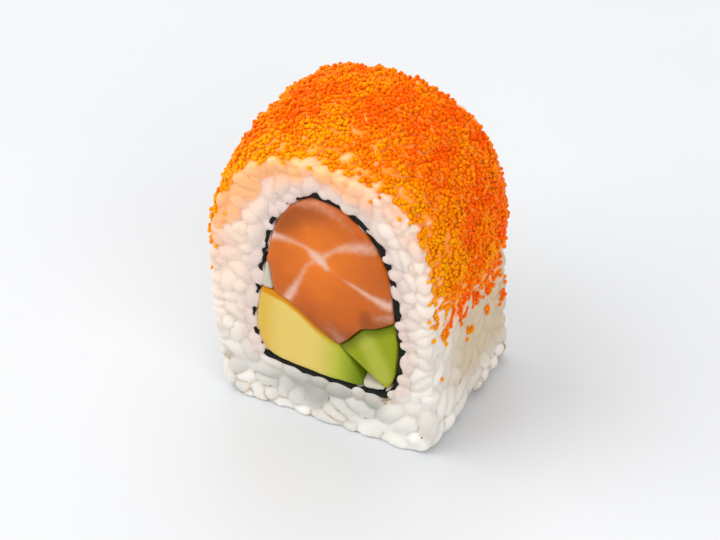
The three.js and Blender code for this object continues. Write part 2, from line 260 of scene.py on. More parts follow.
nori_turns = np.linspace(-np.pi, np.pi, NORI_STEPS, endpoint=False)
nori_waver = sum(height * np.sin(rate * nori_turns + start) for height, rate, start in NORI_WAVES)
nori_out = wrap_reach(nori_turns) + nori_edge(nori_turns) + nori_waver
nori_in = wrap_reach(nori_turns) - NORI_INSIDE + nori_waver / 2
end_waver = NORI_END_WAVE["height"] * np.sin(NORI_END_WAVE["rate"] * nori_turns)
nori_end = ROLL_DEPTH / 2 - NORI_SUNK + end_waver
nori = new_piece("nori_sheet", *ring_mesh([
    loop_at(nori_turns, nori_out, -nori_end),
    loop_at(nori_turns, nori_out, nori_end),
    loop_at(nori_turns, nori_in, nori_end),
    loop_at(nori_turns, nori_in, -nori_end),
]))
NORI_BLACK = srgb(5, 6, 5)
NORI_GREEN = srgb(20, 23, 16)
seaweed, seaweed_shader = new_material("damp_seaweed", roughness=0.65)
seaweed_tone = mix(seaweed, mottle(seaweed, size=0.8), NORI_BLACK, NORI_GREEN)
feed(seaweed, seaweed_tone, seaweed_shader.inputs["Base Color"])
feed(seaweed, 0.2, seaweed_shader.inputs["Specular IOR Level"])
rough_skin(seaweed, seaweed_shader, mottle(seaweed, size=0.4, detail=4.0), depth=0.1)
nori.data.materials.append(seaweed)
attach(nori, "root")
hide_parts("nori")


# The rice: cooked short grains pressed round the nori by a mat until they stick together.
# The knife cuts some of them at both faces and drags a few over the nori,
# and the mat flattens them along the sides and leaves them fuller under the roe.
ROLL_WIDTH = 40.0
BASE_WIDTH = 38.0
ROLL_HEIGHT = 52.0
SHOULDER = 28.0
ARCH_POWER = 2.4
BASE_CORNER = 3.0
CROWN_LEAN = 0.8
BASE_LEAN = 2.4
OUTLINE_STEPS = {"corner": 8, "side": 24, "arch": 60, "base": 40}
OUTLINE_STRIDE = 0.3
CORE_SUNK = 0.65
CORE_LOOPS = 11
CORE_STEPS = 240
TUNNEL_LAP = 0.2
PACKING_INSET = 0.3
BOARD_CUT = 1.0
BOARD_REACH = 8.0
GRAIN = {"length": 5.7, "width": 3.1, "thickness": 2.8}
GRAIN_SIZES = (0.9, 1.18)
GRAIN_ROUNDNESS = 3
FACE_GRAINS = 134
SIDE_GRAINS = 270
CROWDING = 0.88
SETTLE_ROUNDS = 80
SETTLE_STEP = 0.25
EDGE_ROOM = {"face": 0.95, "side": 0.9}
NORI_ROW = 25
NORI_ROW_PLAY = 0.3
NORI_LAPS = (1.1, 1.7)
NORI_BARED = {"base": 0.6, "left": -0.3}
NORI_WEDGES = [(-1.85, 0.28, 0.6), (-0.82, 0.2, 0.4), (1.6, 0.36, 0.5)]
ENDWISE = {"in_row": 0.2, "elsewhere": 0.45, "half": 0.3}
ENDWISE_TILTS = (0.85, 1.4)
FLAT_TILTS = (-0.25, 0.25)
FACE_STANDS = (-0.3, 0.12)
KNIFE_TAKES = {"past": 1.5, "share": 0.4}
SIDE_ENDS = 0.5
SIDE_DEPTH = ROLL_DEPTH / 2 - 1
SIDE_TURNS = 0.7
SIDE_SINKS = (-0.1, 0.2)
GRAINS_NEARBY = 8
SEAM_DEPTH = 0.24
SEAM_WIDTH = 0.3
SMOOTH_ROUNDS = 5
HOLLOW_ROUNDS = 14
FLARE = {"out": 0.9, "height": 4.0}
RICE_VOXEL = 0.38
SEED = 7
draw = np.random.default_rng(SEED)


def roll_outline(inset):
    """The roll's outline from its left base to its right, moved inwards."""
    corner = np.linspace(0, np.pi / 2, OUTLINE_STEPS["corner"])
    half_base = BASE_WIDTH / 2 - inset
    half_width = ROLL_WIDTH / 2 - inset
    round_base = np.stack([half_base - BASE_CORNER * (1 - np.sin(corner)),
                           BASE_CORNER * (1 - np.cos(corner))], axis=1)
    up = np.linspace(0, 1, OUTLINE_STEPS["side"])[1:]
    side = np.stack([half_base + (half_width - half_base) * np.sin(up * np.pi / 2),
                     BASE_CORNER + (SHOULDER - BASE_CORNER) * up], axis=1)
    swing = np.linspace(0, np.pi / 2, OUTLINE_STEPS["arch"])[1:]
    arch_height = ROLL_HEIGHT - inset - SHOULDER
    arch = np.stack([half_width * np.cos(swing) ** (2 / ARCH_POWER),
                     SHOULDER + arch_height * np.sin(swing) ** (2 / ARCH_POWER)], axis=1)
    right = np.concatenate([round_base, side, arch])
    left = right[:-1] * (-1, 1)
    outline = np.concatenate([left, right[::-1]])
    below = np.maximum(0, 1 - outline[:, 1] / SHOULDER)
    outline[:, 0] += CROWN_LEAN * (outline[:, 1] / ROLL_HEIGHT) ** 2 + BASE_LEAN * below ** 2 + shift
    return outline


class Around:
    """The way round the outside of the roll, by its length from the left base."""

    def __init__(self, outline):
        self.outline = outline
        steps = np.linalg.norm(np.diff(outline, axis=0), axis=1)
        self.lengths = np.concatenate([[0], np.cumsum(steps)])
        self.whole = self.lengths[-1]

    def at(self, length):
        """The point there as across and up."""
        return np.stack([np.interp(length, self.lengths, self.outline[:, axis]) for axis in (0, 1)], axis=-1)

    def along(self, length):
        """The unit step along the outline there."""
        ahead = np.minimum(length + OUTLINE_STRIDE, self.whole)
        behind = np.maximum(length - OUTLINE_STRIDE, 0)
        step = self.at(ahead) - self.at(behind)
        return step / np.linalg.norm(step, axis=-1, keepdims=True)


def ball(level):
    """A unit ball of triangles."""
    made = bmesh.new()
    bmesh.ops.create_icosphere(made, subdivisions=level, radius=1)
    points = np.array([vertex.co[:] for vertex in made.verts])
    faces = np.array([[vertex.index for vertex in face.verts] for face in made.faces])
    made.free()
    return points, faces


def joined(points, faces, axes, centres):
    """Copies of one small shape, each stretched along its own three axes, as one list of faces."""
    every = np.einsum("vi,nij->nvj", points, axes) + centres[:, None, :]
    starts = np.arange(len(centres))[:, None, None] * len(points)
    return every.reshape(-1, 3), (faces[None] + starts).reshape(-1, faces.shape[1])


def side_by_side(places, turns, halves, widths, keep_in):
    """Pushes grains on a surface apart until they just lap, each as a pair of discs."""
    owner = np.repeat(np.arange(len(places)), 2)
    other = owner[:, None] != owner[None]
    radii = np.repeat(CROWDING * widths / 2, 2)
    for _ in range(SETTLE_ROUNDS):
        lie = np.stack([np.cos(turns), np.sin(turns)], axis=1) * halves[:, None]
        ends = np.stack([places + lie, places - lie], axis=1).reshape(-1, 2)
        gap = ends[:, None] - ends[None]
        far = np.linalg.norm(gap, axis=2) + 1e-6
        lap = np.clip(radii[:, None] + radii[None] - far, 0, None) * other
        ends = ends + SETTLE_STEP * np.sum(gap * (lap / far)[..., None], axis=1)
        ends = keep_in(ends, radii).reshape(-1, 2, 2)
        places = ends.mean(axis=1)
        span = ends[:, 0] - ends[:, 1]
        turns = np.arctan2(span[:, 1], span[:, 0])
    return places, turns


def fuse(piece, voxel):
    """Melts everything in a piece into one closed skin."""
    melt = piece.modifiers.new("fuse", "REMESH")
    melt.mode = "VOXEL"
    melt.voxel_size = voxel * MM
    seen = bpy.context.evaluated_depsgraph_get()
    skin = bpy.data.meshes.new_from_object(piece.evaluated_get(seen))
    piece.modifiers.clear()
    old = piece.data
    piece.data = skin
    bpy.data.meshes.remove(old)
    skin.shade_smooth()


def points_of(piece):
    """A piece's points in millimetres."""
    flat = np.empty(len(piece.data.vertices) * 3)
    piece.data.vertices.foreach_get("co", flat)
    return flat.reshape(-1, 3) / MM


def move_points(piece, points):
    """Puts a piece's points where they are given, in millimetres."""
    piece.data.vertices.foreach_set("co", (points * MM).ravel())
    piece.data.update()


def normals_of(piece):
    """The way out of a piece at each of its points."""
    flat = np.empty(len(piece.data.vertices) * 3)
    piece.data.vertices.foreach_get("normal", flat)
    return flat.reshape(-1, 3)


def evened(piece, values, rounds):
    """Values at a piece's points, averaged with those at the next points a few times."""
    ends = np.empty(len(piece.data.edges) * 2, int)
    piece.data.edges.foreach_get("vertices", ends)
    first, second = ends.reshape(-1, 2).T
    count = len(piece.data.vertices)
    share = np.bincount(first, minlength=count) + np.bincount(second, minlength=count)
    columns = values.reshape(count, -1).copy()
    for _ in range(rounds):
        for number in range(columns.shape[1]):
            column = columns[:, number]
            total = np.bincount(first, column[second], count) + np.bincount(second, column[first], count)
            columns[:, number] = 0.5 * column + 0.5 * total / share
    return columns.reshape(values.shape)


def mark(piece, name, values):
    """Keeps a value at each point of a piece, for its material."""
    layer = piece.data.attributes.new(name, "FLOAT", "POINT")
    layer.data.foreach_set("value", np.asarray(values, np.float32))


def marked(material, name):
    """The value that a piece keeps at its points."""
    node = material.node_tree.nodes.new("ShaderNodeAttribute")
    node.attribute_name = name
    return node.outputs["Fac"]


def between(material, value, low, high):
    """A value rescaled so that low becomes 0 and high becomes 1, eased at both ends."""
    node = material.node_tree.nodes.new("ShaderNodeMapRange")
    node.interpolation_type = "SMOOTHSTEP"
    feed(material, value, node.inputs["Value"])
    feed(material, low, node.inputs["From Min"])
    feed(material, high, node.inputs["From Max"])
    return node.outputs["Result"]


def laid_over(material, tone, colour, value, low, high):
    """A tone that goes over to a colour as a value goes from low to high."""
    return mix(material, between(material, value, low, high), tone, colour)


def lit_through(material, shader, share, colours, reach):
    """Light that goes into a moist food and comes out tinted, with its reach in millimetres."""
    feed(material, share, shader.inputs["Subsurface Weight"])
    feed(material, colours, shader.inputs["Subsurface Radius"])
    feed(material, reach * MM, shader.inputs["Subsurface Scale"])


def tree_of(places):
    """A tree that finds which of the places are nearest to a point."""
    tree = kdtree.KDTree(len(places))
    for number, place in enumerate(places):
        tree.insert(place, number)
    tree.balance()
    return tree


BARE_RIM = {"front": 3.0, "front_left": 1.0, "back": -0.5}
BARE_RIM_SPAN = 10.0
ROE_EDGE = 22.5
FRONT_RISE = {"height": 9.0, "reach": 5.0}
BACK_RISE = {"height": 4.0, "reach": 3.0}
DRIPS = [(1.7, 1.1), (1.1, 2.3)]
SCALLOPS = [(0.6, 1.35), (0.5, 2.2)]
LEFT_PHASE = 2.1
ROE_SUNK = 0.1
COAT_EDGE = 1.5
COAT_BULGE = 1.8
SWELL_REACH = 4.0


def roe_margin(across, deep, up):
    """How far inside the edge of the roe a place on the outside is, in millimetres."""
    side = np.where(across > 0, 0.0, LEFT_PHASE)
    edge = ROE_EDGE + FRONT_RISE["height"] * np.exp(-(deep + ROLL_DEPTH / 2) / FRONT_RISE["reach"])
    edge = edge + BACK_RISE["height"] * np.exp((deep - ROLL_DEPTH / 2) / BACK_RISE["reach"])
    for height, rate in DRIPS:
        edge = edge + height * np.sin(rate * (deep + side))
    front_rim = np.interp(-across, [0, BARE_RIM_SPAN], [BARE_RIM["front"], BARE_RIM["front_left"]])
    rim = ROLL_DEPTH / 2 - np.where(deep < 0, front_rim, BARE_RIM["back"])
    round_arch = np.arctan2(up - SHOULDER, across) * ROLL_WIDTH / 2
    for height, rate in SCALLOPS:
        rim = rim - height * np.sin(rate * round_arch)
    return np.minimum(up - edge, rim - np.abs(deep))


def closed(outline, base):
    """An outline of the roll with its base line at a height."""
    near_base = np.clip(1 - outline[:, 1] / BOARD_REACH, 0, 1)
    lowered = outline + np.stack([0 * outline[:, 1], base * near_base], axis=1)
    base_line = np.linspace(lowered[-1], lowered[0], OUTLINE_STEPS["base"])
    return np.concatenate([lowered, base_line[1:-1]])


def coat_lift(across, deep, up):
    """How far the rice under the roe stands out past the roll's plain outline."""
    margin = roe_margin(across, deep, up)
    coated = np.clip(margin / COAT_EDGE, 0, 1)
    swollen = np.clip(margin / SWELL_REACH, 0, 1) * (1 - (2 * deep / ROLL_DEPTH) ** 2)
    return COAT_BULGE * swollen - ROE_SUNK * coated


outside = Around(roll_outline(0))
outline_reach = reach_from(MIDDLE, closed(roll_outline(0), 0))
packing_reach = reach_from(MIDDLE, closed(roll_outline(PACKING_INSET), -BOARD_CUT))
core_reach = reach_from(MIDDLE, closed(roll_outline(CORE_SUNK), 0))
core_turns = np.linspace(-np.pi, np.pi, CORE_STEPS, endpoint=False)
core_end = ROLL_DEPTH / 2 - CORE_SUNK
tunnel_reach = wrap_reach(core_turns) + nori_edge(core_turns) - TUNNEL_LAP
core_loops = []
for deep in np.linspace(-core_end, core_end, CORE_LOOPS):
    spots = loop_at(core_turns, outline_reach(core_turns), deep)
    lift = coat_lift(spots[:, 0] - shift, deep, spots[:, 2])
    core_loops.append(loop_at(core_turns, core_reach(core_turns) + lift, deep))
core_loops.append(loop_at(core_turns, tunnel_reach, core_end))
core_loops.append(loop_at(core_turns, tunnel_reach, -core_end))
core = ring_mesh(core_loops)


def nori_bared(turns):
    """How far the grains stay back from the nori, most in wedges given by turn, half width and height."""
    bared = NORI_BARED["base"] * np.maximum(0, -np.sin(turns))
    bared += NORI_BARED["left"] * np.maximum(0, -np.cos(turns))
    for turn, half_width, height in NORI_WEDGES:
        bared += height * np.exp(-((turns - turn) / half_width) ** 2)
    return bared


def on_face(places, radii, laps):
    """Keeps places on a cut face between the outline and the nori, with a row of grains along the nori."""
    away = places - MIDDLE
    turns = np.arctan2(away[:, 1], away[:, 0])
    reach = np.hypot(*away.T)
    inner = wrap_reach(turns) + radii - laps + nori_bared(turns)
    outer = packing_reach(turns) - EDGE_ROOM["face"] * radii
    in_row = slice(0, 2 * NORI_ROW)
    outer[in_row] = inner[in_row] + NORI_ROW_PLAY
    kept = np.clip(reach, inner, outer)
    return MIDDLE + away * (kept / reach)[:, None]


def on_side(places, radii):
    """Keeps places by length round the outside and by depth between both cuts."""
    lengths = np.clip(places[:, 0], SIDE_ENDS, outside.whole - SIDE_ENDS)
    room = EDGE_ROOM["side"] * radii
    depths = np.clip(places[:, 1], room - ROLL_DEPTH / 2, ROLL_DEPTH / 2 - room)
    return np.stack([lengths, depths], axis=1)


def grain_axes(long_way, flat_way, size):
    """The three half axes of a grain that lies along one way and has its flat side to another."""
    long_way = long_way / np.linalg.norm(long_way)
    wide_way = np.cross(flat_way, long_way)
    wide_way /= np.linalg.norm(wide_way)
    flat_way = np.cross(long_way, wide_way)
    halves = np.array([GRAIN["length"], GRAIN["width"], GRAIN["thickness"]]) * size / 2
    return np.stack([long_way, wide_way, flat_way]) * halves[:, None]


grain_turns = []
grain_places = []
INTO_ROLL = np.array([0, 1, 0])
flat_half = 0.5 * (GRAIN["length"] - GRAIN["width"])
for front in (-1, 1):
    sizes = draw.uniform(*GRAIN_SIZES, FACE_GRAINS)
    laps = np.repeat(draw.uniform(*NORI_LAPS, FACE_GRAINS), 2)
    endwise_share = np.where(np.arange(FACE_GRAINS) < NORI_ROW, ENDWISE["in_row"], ENDWISE["elsewhere"])
    endwise = draw.uniform(size=FACE_GRAINS) < endwise_share
    endwise_tilts = draw.uniform(*ENDWISE_TILTS, FACE_GRAINS)
    flat_tilts = draw.uniform(*FLAT_TILTS, FACE_GRAINS)
    tilts = np.where(endwise, endwise_tilts, flat_tilts)
    halves = np.where(endwise, ENDWISE["half"], flat_half) * sizes
    turns = draw.uniform(-np.pi, np.pi, FACE_GRAINS)
    turns[:NORI_ROW] = np.linspace(-np.pi, np.pi, NORI_ROW, endpoint=False)
    reach = np.sqrt(draw.uniform(wrap_reach(turns) ** 2, outline_reach(turns) ** 2))
    starts = MIDDLE + reach[:, None] * np.stack([np.cos(turns), np.sin(turns)], axis=1)
    lies = draw.uniform(0, 2 * np.pi, FACE_GRAINS)
    lies[:NORI_ROW] = turns[:NORI_ROW] + np.pi / 2
    keep_in = lambda ends, radii: on_face(ends, radii, laps)
    places, lies = side_by_side(starts, lies, halves, GRAIN["width"] * sizes, keep_in)
    for place, lie, tilt, size in zip(places, lies, tilts, sizes):
        flat = np.array([math.cos(lie), 0, math.sin(lie)])
        long_way = math.cos(tilt) * flat + math.sin(tilt) * INTO_ROLL
        flat_way = math.cos(tilt) * INTO_ROLL - math.sin(tilt) * flat
        axes = grain_axes(long_way, flat_way, size)
        half_deep = np.linalg.norm(axes[:, 1])
        deep = ROLL_DEPTH / 2 - half_deep + draw.uniform(*FACE_STANDS)
        deep += KNIFE_TAKES["share"] * max(0, half_deep - KNIFE_TAKES["past"])
        grain_turns.append(axes)
        grain_places.append((place[0], front * deep, place[1]))

sizes = draw.uniform(*GRAIN_SIZES, SIDE_GRAINS)
side_lengths = draw.uniform(SIDE_ENDS, outside.whole - SIDE_ENDS, SIDE_GRAINS)
side_depths = draw.uniform(-SIDE_DEPTH, SIDE_DEPTH, SIDE_GRAINS)
starts = np.stack([side_lengths, side_depths], axis=1)
lies = draw.normal(0, SIDE_TURNS, SIDE_GRAINS)
places, lies = side_by_side(starts, lies, flat_half * sizes, GRAIN["width"] * sizes, on_side)
for (length, deep), lie, size in zip(places, lies, sizes):
    spot = outside.at(length)
    step = outside.along(length)
    out = np.array([-step[1], 0, step[0]])
    long_way = math.cos(lie) * np.array([step[0], 0, step[1]]) + math.sin(lie) * INTO_ROLL
    axes = grain_axes(long_way, out, size)
    sunk = np.linalg.norm(axes @ out) + draw.uniform(*SIDE_SINKS)
    sunk -= coat_lift(spot[0] - shift, deep, spot[1])
    grain_turns.append(axes)
    grain_places.append(np.array([spot[0], deep, spot[1]]) - out * sunk)

grains = joined(*ball(GRAIN_ROUNDNESS), np.array(grain_turns), np.array(grain_places))
rice_points = np.concatenate([core[0], grains[0]])
rice_points[:, 1] = np.clip(rice_points[:, 1], -ROLL_DEPTH / 2, ROLL_DEPTH / 2)
rice_points[:, 2] = np.maximum(rice_points[:, 2], 0)
quads = [face.tolist() for face in core[1]]
triangles = [face.tolist() for face in grains[1] + len(core[0])]
rice_mesh = bpy.data.meshes.new("rice")
rice_mesh.from_pydata((rice_points * MM).tolist(), [], quads + triangles)
rice = bpy.data.objects.new("rice_grains", rice_mesh)
bpy.context.scene.collection.objects.link(rice)
fuse(rice, RICE_VOXEL)
settled = evened(rice, points_of(rice), SMOOTH_ROUNDS)

# Where each tone of the rice lies, painted shades among them: places along one way through the roll, and its
# share at each.
SEAM_ENDS = ([0.4, 0.8], [1, 0])
SEAM_DARKER = ([0, 9], [2, 1])
WET_SHADE_GRAINS = ([0, 1], [0.5, 1.3])
WET_SHADE_ACROSS = ([-13, -4, 9, 14], [0.25, 1, 1, 0])
WET_SHADE_BAND = {"height": 6.0, "reach": 4.6}
SHADE_ACROSS = ([15, 19], [0, 1])
SHADE_DEEP = ([-12, 0], [0, 1])
SHADE_UP = ([3.8, 8], [0.3, 1])
ROSE_SHADE_PAST_NORI = ([1.25, 3.75], [1, 0])
ROSE_SHADE_UP = ([6, 12], [0, 1])
WARM_ACROSS = ([-16.667, 20], [1, 0.45])
WARM_UP = ([4, 26], [0, 1])
SPECK_RATE = 0.55
SPECK_SHARES = ([0.325, 0.575], [0, 1])
SPECK_UP = ([5, 15], [1, 0])
near_grains = tree_of(grain_places)
nearby = np.array([[found[1] for found in near_grains.find_n(point, GRAINS_NEARBY)] for point in settled])
away = settled[:, None] - np.array(grain_places)[nearby]
axes = np.array(grain_turns)[nearby]
inside = np.linalg.norm(np.einsum("vgij,vgj->vgi", axes, away) / np.sum(axes ** 2, axis=3), axis=2)
clear = np.linalg.norm(away, axis=2) * (1 - 1 / inside)
order = np.argsort(clear, axis=1)
nearest, next_nearest = np.take_along_axis(clear, order[:, :2], axis=1).T
seam = np.exp(-((next_nearest - nearest) / SEAM_WIDTH) ** 2) * np.interp(nearest, *SEAM_ENDS)
owners = np.take_along_axis(nearby, order[:, :1], axis=1)[:, 0]
grain_tones = draw.uniform(size=len(grain_places))
# The seams where grains meet are darkened as painted shade, twice as much at the base as higher up.
mark(rice, "seam", evened(rice, seam * np.interp(settled[:, 2], *SEAM_DARKER), 1))
mark(rice, "grain_tone", evened(rice, 0.5 + (grain_tones[owners] - 0.5) * (1 - seam), 1))
settled = evened(rice, settled - SEAM_DEPTH * seam[:, None] * normals_of(rice), 1)
spread_out = FLARE["out"] * np.exp(-settled[:, 2] / FLARE["height"])
settled[:, 1] *= 1 + spread_out / (ROLL_DEPTH / 2)
settled[:, 2] = np.maximum(settled[:, 2], 0)
move_points(rice, settled)
hollow = np.einsum("vi,vi->v", evened(rice, settled, HOLLOW_ROUNDS) - settled, normals_of(rice))
# The hollows of the rice are darkened as painted shade too.
mark(rice, "crevice", hollow)
across, deep, up = settled.T
# A greyer band low on the rice is painted shade on the lower faces, with a wet look, per grain and fading
# towards the sides.
soaked_shade = np.interp(grain_tones[owners], *WET_SHADE_GRAINS) * np.interp(across, *WET_SHADE_ACROSS)
wet_shade_band = np.exp(-((up - WET_SHADE_BAND["height"]) / WET_SHADE_BAND["reach"]) ** 2)
mark(rice, "wet_shade", evened(rice, soaked_shade * wet_shade_band, 1))
shade = np.interp(across, *SHADE_ACROSS) * np.interp(deep, *SHADE_DEEP)
mark(rice, "in_shade", shade * np.interp(up, *SHADE_UP))
# Darker, rosier rice next to the nori, above the base: painted shade, with the rice thin and damp over the
# dark sheet.
from_middle = settled[:, [0, 2]] - MIDDLE
past_nori = np.hypot(*from_middle.T) - wrap_reach(np.arctan2(from_middle[:, 1], from_middle[:, 0]))
mark(rice, "shade_by_nori", np.interp(past_nori, *ROSE_SHADE_PAST_NORI) * np.interp(up, *ROSE_SHADE_UP))
mark(rice, "warmth", np.interp(across, *WARM_ACROSS) * np.interp(up, *WARM_UP))
# Dark brown specks in some seams, more towards the base.
specks = np.array([noise.noise(Vector(point) * SPECK_RATE) for point in settled])
mark(rice, "seam_specks", seam * np.interp(specks, *SPECK_SHARES) * np.interp(up, *SPECK_UP))

RICE_WHITE = srgb(238, 234, 227)
RICE_GREY = srgb(218, 213, 204)
RICE_WET_SHADE = srgb(174, 174, 167)
RICE_BEIGE = srgb(206, 186, 156)
RICE_CREAM = srgb(242, 216, 195)
RICE_GAP_SHADE = srgb(184, 154, 122)
RICE_STAINED_SHADE = srgb(240, 128, 46)
RICE_BROWN_SPECK = srgb(146, 108, 62)
RICE_BLUSH = srgb(240, 202, 180)
RICE_ROSE_SHADE = srgb(222, 202, 192)
RICE_PEACH = srgb(255, 184, 124)
RICE_JUICE = srgb(255, 152, 22)
cooked, cooked_shader = new_material("cooked_rice", roughness=0.4)
# Painted shade for the seams and hollows, orange where the roe's juice tints the rice.
seam_shade_tone = laid_over(cooked, RICE_GAP_SHADE, RICE_STAINED_SHADE, marked(cooked, "roe_tint"), 0.2, 0.7)
rice_tone = RICE_WHITE
# Some of these layers are painted shade: the seams and hollows, and in part the wet band and the band by the
# nori.
for name, least, most, colour in [
    ("grain_tone", 0.1, 1.0, RICE_GREY),
    ("wet_shade", 0.0, 1.1, RICE_WET_SHADE),
    ("warmth", 0.0, 1.2, RICE_CREAM),
    ("in_shade", 0.0, 1.1, RICE_BEIGE),
    ("roe_tint", 0.05, 0.55, RICE_BLUSH),
    ("roe_tint", 0.45, 0.95, RICE_PEACH),
    ("shade_by_nori", 0.0, 1.2, RICE_ROSE_SHADE),
    ("seam", 0.3, 2.0, seam_shade_tone),
    ("crevice", 0.1, 0.5, seam_shade_tone),
    ("seam_specks", 0.25, 0.7, RICE_BROWN_SPECK),
    ("juice", 0.0, 1.0, RICE_JUICE),
]:
    rice_tone = laid_over(cooked, rice_tone, colour, marked(cooked, name), least, most)
feed(cooked, rice_tone, cooked_shader.inputs["Base Color"])
lit_through(cooked, cooked_shader, share=0.6, colours=(1.0, 0.88, 0.75), reach=1.0)
rough_skin(cooked, cooked_shader, mottle(cooked, size=0.7, detail=3.0), depth=0.12)
rice.data.materials.append(cooked)
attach(rice, "root")
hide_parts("rice")


# The salmon: one thick strip of raw fish that fills the upper half of the nori.
# Its cut shows the muscle in blocks, parted by pale lines of fat that run on through the strip; a pale line
# along its top is a painted sheen.
FILLING_VOXEL = 0.3
SWELL = 0.11
# The heart of the fish, where its fat lines meet, is a route of almost no length.
FISH_HEART = [(0.6, 33.7), (0.6, 33.8)]
FISH_CLOUDS = 9.0
FAT_AND_SHEEN_WAVER = 0.5
AT_CUT = ([ROLL_DEPTH / 2 - 1, ROLL_DEPTH / 2 - 0.5], [0, 1])
CUT_BULGE = 0.25
FAT_AND_SHEEN_SINKS = 0.15
FAT_AND_SHEEN_LINES = {
    "left": [
        (-9.4, 35.2, 1.2, 1.0), (-6.6, 35.7, 0.9, 0.85), (-3.2, 35.6, 0.6, 0.55), (-1.3, 35.1, 0.6, 0.7),
    ],
    "heart": [
        (-1.3, 35.1, 0.6, 0.7), (-0.2, 34.2, 1.2, 1.1), (0.9, 33.4, 1.2, 1.1), (1.9, 32.4, 0.7, 0.8),
    ],
    "right_up": [
        (0.6, 33.7, 0.7, 0.9), (2.8, 36.1, 0.6, 0.55), (5, 37.7, 0.9, 0.7), (8, 38.9, 1.4, 0.75),
        (11.5, 39.6, 1.2, 0.5),
    ],
    # A painted sheen along the top edge, drawn as a faint pale line.
    "top": [
        (-3.5, 43.6, 1.0, 0.3), (0, 44.8, 1.2, 0.45), (3.5, 43.8, 1.2, 0.35), (6.5, 41.8, 0.8, 0.2),
    ],
    "left_low": [
        (0.2, 33.5, 0.6, 0.7), (-1.6, 31.7, 0.5, 0.45), (-3, 28.2, 0.55, 0.65), (-4.1, 25.5, 0.8, 0.95),
        (-5.6, 22.5, 0.8, 1.0),
    ],
    "right_low": [
        (1.9, 32.4, 0.5, 0.4), (4.2, 31.4, 0.45, 0.1), (6.5, 30.6, 0.5, 0.75), (9.6, 29.4, 0.7, 0.85),
        (12, 28.8, 1.2, 0.95), (14, 28.6, 1.3, 0.85),
    ],
    "lobe": [(10.8, 25.4, 1.0, 0.4), (13.6, 26.6, 1.2, 0.5)],
    "low_tip": [(2.4, 20.2, 1.2, 0.3), (4.2, 18.4, 1.2, 0.45)],
}
# Painted shade on the salmon: its top left, shaded under the rice, and a notch where it meets the cucumber.
FISH_SHADE_SPOTS = {
    "top": [(-7.6, 37.4, 2.8, 0.9), (-5.6, 40, 3.6, 1.0), (-3.4, 42.2, 3.2, 0.9), (1, 43, 2.4, 0.6)],
    "notch": [(8.7, 25.6, 1.0, 0.8), (8.9, 23.4, 1.5, 1.0)],
}


def filling(name, nodes):
    """A filling in the form of its solids, softened at the edges and pressed against its neighbours."""
    made = bmesh.new()
    for node in nodes:
        made.from_mesh(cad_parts[node].data)
    mesh = bpy.data.meshes.new(name)
    made.to_mesh(mesh)
    made.free()
    piece = bpy.data.objects.new(name, mesh)
    bpy.context.scene.collection.objects.link(piece)
    fuse(piece, FILLING_VOXEL)
    move_points(piece, evened(piece, points_of(piece), SMOOTH_ROUNDS))
    move_points(piece, points_of(piece) + SWELL * normals_of(piece))
    return piece


def from_route(points, route):
    """How far points of the cut are from a route across it, and how many of its stops they are along it."""
    flat = points[:, [0, 2]]
    route = np.array(route, float) + (shift, 0)
    nearest = np.full(len(flat), np.inf)
    along = np.zeros(len(flat))
    for number, (start, end) in enumerate(zip(route[:-1], route[1:])):
        step = end - start
        part = np.clip((flat - start) @ step / (step @ step), 0, 1)
        away = np.linalg.norm(flat - start - part[:, None] * step, axis=1)
        along = np.where(away < nearest, number + part, along)
        nearest = np.minimum(nearest, away)
    return nearest, along


def streaks(points, lines):
    """How much of any soft line each point has: a line's stops give its place, half width and strength."""
    strongest = np.zeros(len(points))
    for line in lines.values():
        across, up, halves, shares = np.array(line).T
        away, along = from_route(points, np.stack([across, up], axis=1))
        stops = np.arange(len(line))
        streak = np.interp(along, stops, shares) * np.exp(-(away / np.interp(along, stops, halves)) ** 2)
        strongest = np.maximum(strongest, streak)
    return strongest


def times_plus(material, value, factor, more):
    """A value times a factor, plus another value."""
    node = material.node_tree.nodes.new("ShaderNodeMath")
    node.operation = "MULTIPLY_ADD"
    for socket, part in zip(node.inputs, (value, factor, more)):
        feed(material, part, socket)
    return node.outputs[0]


salmon = filling("salmon_strip", ["salmon"])
salmon_points = points_of(salmon)
fat_and_sheen = streaks(salmon_points, FAT_AND_SHEEN_LINES)
mark(salmon, "fat_and_sheen", fat_and_sheen)
mark(salmon, "fish_shade_spots", streaks(salmon_points, FISH_SHADE_SPOTS))
mark(salmon, "from_heart", from_route(salmon_points, FISH_HEART)[0])
at_cut = np.interp(np.abs(salmon_points[:, 1]), *AT_CUT) * np.sign(salmon_points[:, 1])
salmon_points[:, 1] += at_cut * (CUT_BULGE - FAT_AND_SHEEN_SINKS * fat_and_sheen)
move_points(salmon, salmon_points)

FISH_ORANGE = srgb(230, 121, 28)
FISH_DEEP = srgb(200, 98, 26)
FISH_BROWN = srgb(154, 74, 18)
FISH_FAT_AND_SHEEN = srgb(230, 192, 172)
fish, fish_shader = new_material("raw_salmon", roughness=0.36)
fish_depth = times_plus(fish, mottle(fish, size=5, detail=4.0), FISH_CLOUDS, marked(fish, "from_heart"))
fish_tone = laid_over(fish, FISH_ORANGE, FISH_DEEP, fish_depth, 5.0, 15.0)
fish_tone = laid_over(fish, fish_tone, FISH_BROWN, fish_depth, 13.5, 22.0)
